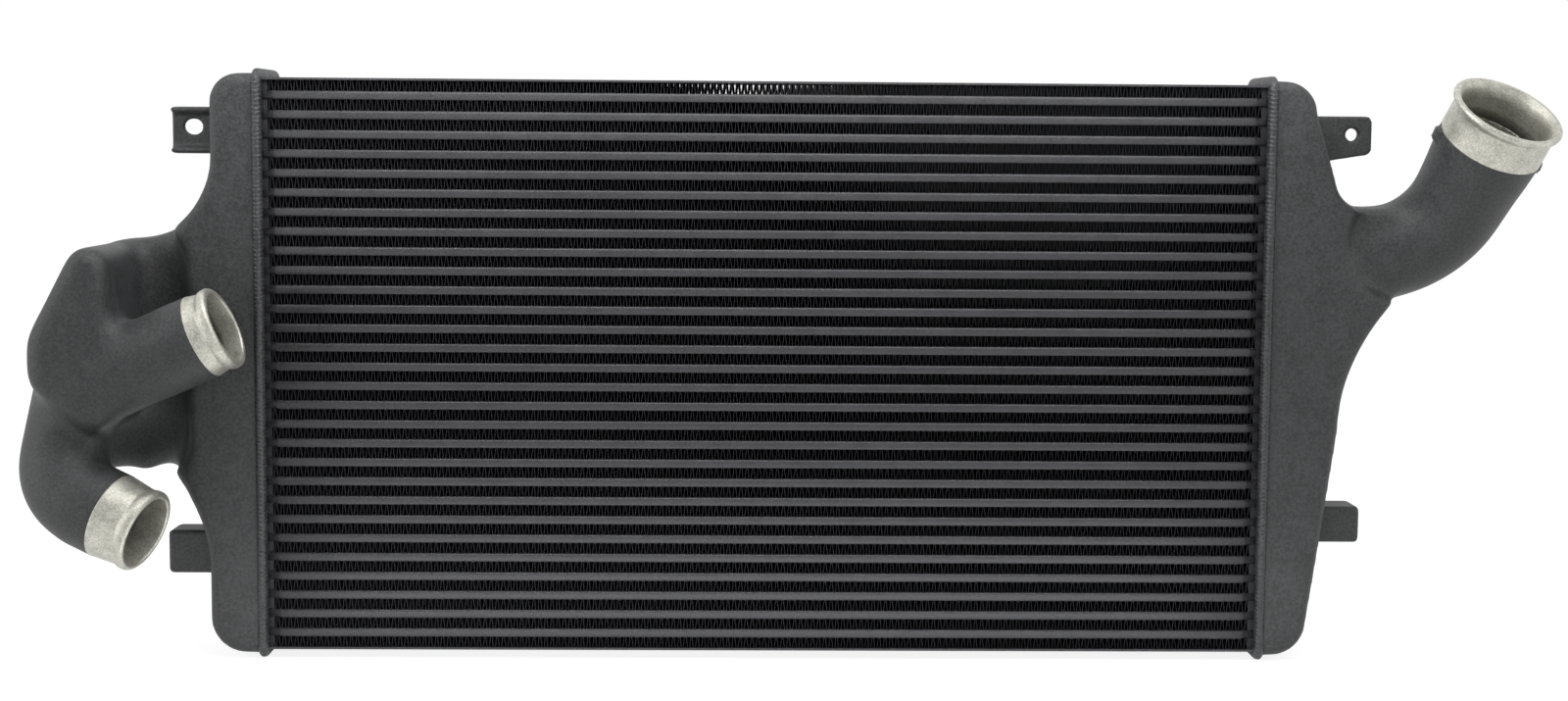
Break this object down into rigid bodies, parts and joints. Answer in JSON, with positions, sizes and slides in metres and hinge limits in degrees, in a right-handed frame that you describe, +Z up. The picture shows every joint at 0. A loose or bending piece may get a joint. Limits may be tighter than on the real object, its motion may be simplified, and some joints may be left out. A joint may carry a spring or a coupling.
{
  "type": "intercooler",
  "caption": "Bar-and-plate air-to-air charge cooler with cast aluminium end tanks, one large hose neck and two small ones, cast-in lugs and feet.",
  "frame": {"origin": "middle of the core's flat underside", "axes": "+X along the core towards the single large neck, +Y through the core away from the side that the small necks project from, +Z up"},
  "size_m": [1.0688, 0.1595, 0.418],
  "materials": {
    "coated_casting": "satin black coat over fine cast grain",
    "coated_core": "satin black coat over brazed aluminium",
    "coated_fins": "matte black coat over thin folded sheet",
    "coated_weld": "satin black coat over rippled weld metal",
    "bare_aluminium": "plain, inside the closed tubes and at the hose necks"
  },
  "bodies": {
    "root": {"charge_tube_01": "coated_core", "charge_tube_02": "coated_core", "charge_tube_03": "coated_core", "charge_tube_04": "coated_core", "charge_tube_05": "coated_core", "charge_tube_06": "coated_core", "charge_tube_07": "coated_core", "charge_tube_08": "coated_core", "charge_tube_09": "coated_core", "charge_tube_10": "coated_core", "charge_tube_11": "coated_core", "charge_tube_12": "coated_core", "charge_tube_13": "coated_core", "charge_tube_14": "coated_core", "charge_tube_15": "coated_core", "charge_tube_16": "coated_core", "charge_tube_17": "coated_core", "charge_tube_18": "coated_core", "charge_tube_19": "coated_core", "charge_tube_20": "coated_core", "charge_tube_21": "coated_core", "charge_tube_22": "coated_core", "charge_tube_23": "coated_core", "charge_tube_24": "coated_core", "charge_tube_25": "coated_core", "charge_tube_26": "coated_core", "charge_tube_27": "coated_core", "charge_tube_28": "coated_core", "charge_tube_29": "coated_core", "turbulators": "bare_aluminium", "cooling_fins": "coated_fins", "left_header_bars": "coated_core", "right_header_bars": "coated_core", "bottom_side_plate": "coated_core", "top_side_plate": "coated_core", "left_tank": "coated_casting", "right_tank": "coated_casting", "left_weld_bead": "coated_weld", "right_weld_bead": "coated_weld"}
  },
  "joints": []
}
